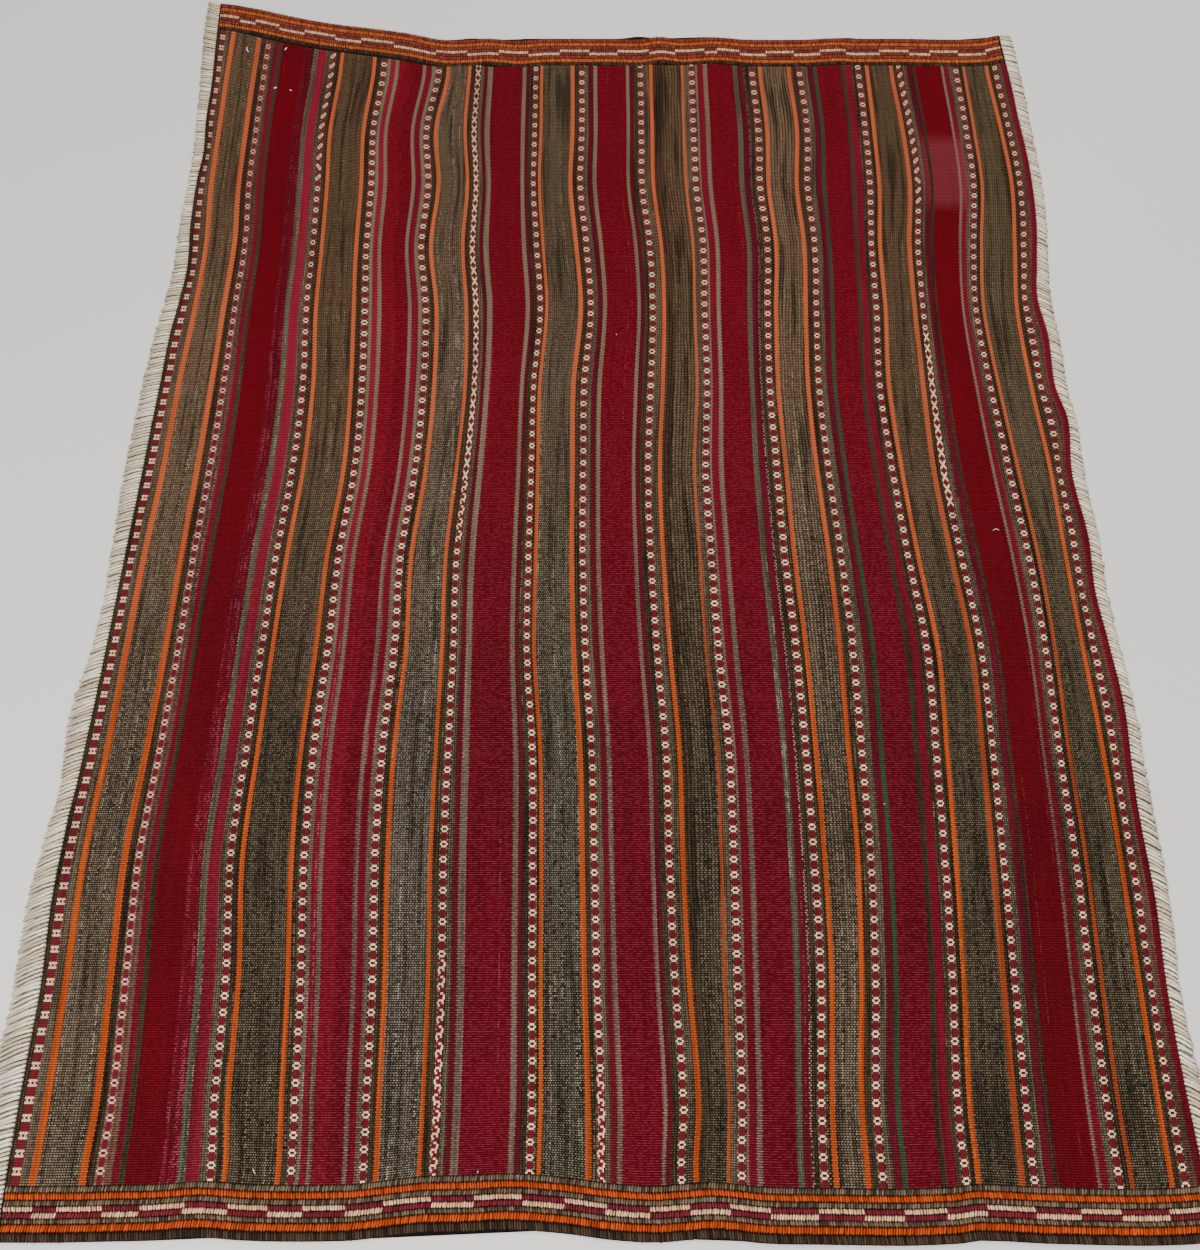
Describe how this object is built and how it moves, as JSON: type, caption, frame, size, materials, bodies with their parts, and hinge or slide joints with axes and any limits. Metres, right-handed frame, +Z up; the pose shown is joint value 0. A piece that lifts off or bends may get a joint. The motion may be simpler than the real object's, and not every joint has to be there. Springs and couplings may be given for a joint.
{
  "type": "soumak rug",
  "caption": "Flat-woven striped wool rug with soumak-wrapped end bands and a fringe of warp ends along both long edges, lying flat.",
  "frame": {"origin": "middle of the rug's footprint, on the floor it lies on", "axes": "+Y along the rug's length and its stripes, +Z up through its thickness, +X across, along the warps"},
  "size_m": [1.4244, 1.916, 0.0048],
  "materials": {
    "wool_weave": "matt weft-faced wool in striped colours",
    "warp_yarn": "matt undyed twisted wool yarn"
  },
  "bodies": {
    "root": {"rug_cloth": "wool_weave", "fringe_left": "warp_yarn", "fringe_right": "warp_yarn"}
  },
  "joints": []
}
